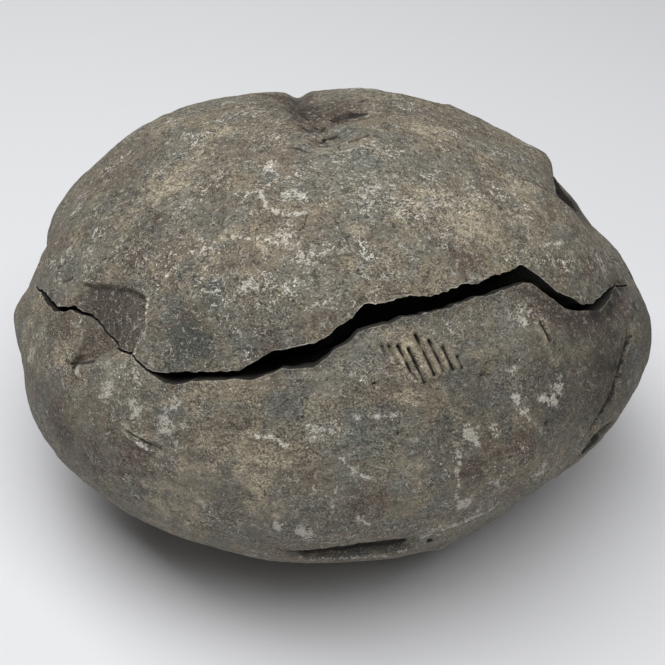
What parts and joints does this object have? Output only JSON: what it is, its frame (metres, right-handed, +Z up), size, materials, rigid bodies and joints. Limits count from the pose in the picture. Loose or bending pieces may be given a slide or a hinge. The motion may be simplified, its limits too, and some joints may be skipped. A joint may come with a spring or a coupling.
{
  "type": "split fossil ammonite nodule",
  "caption": "Closed, rounded mudstone fossil nodule broken right round into a cap that rests on a bowl, with a short row of rib marks in front.",
  "frame": {"origin": "middle of the worn flat that the nodule stands on", "axes": "+X along the nodule's length, to the right in the front view; +Y from its front to its back; +Z up"},
  "size_m": [0.1231, 0.1091, 0.0743],
  "materials": {
    "upper_stone": "dry weathered grey-brown mudstone, matte",
    "lower_stone": "dry weathered darker grey mudstone, matte"
  },
  "bodies": {
    "root": {"upper_half": "upper_stone", "lower_half": "lower_stone"}
  },
  "joints": []
}
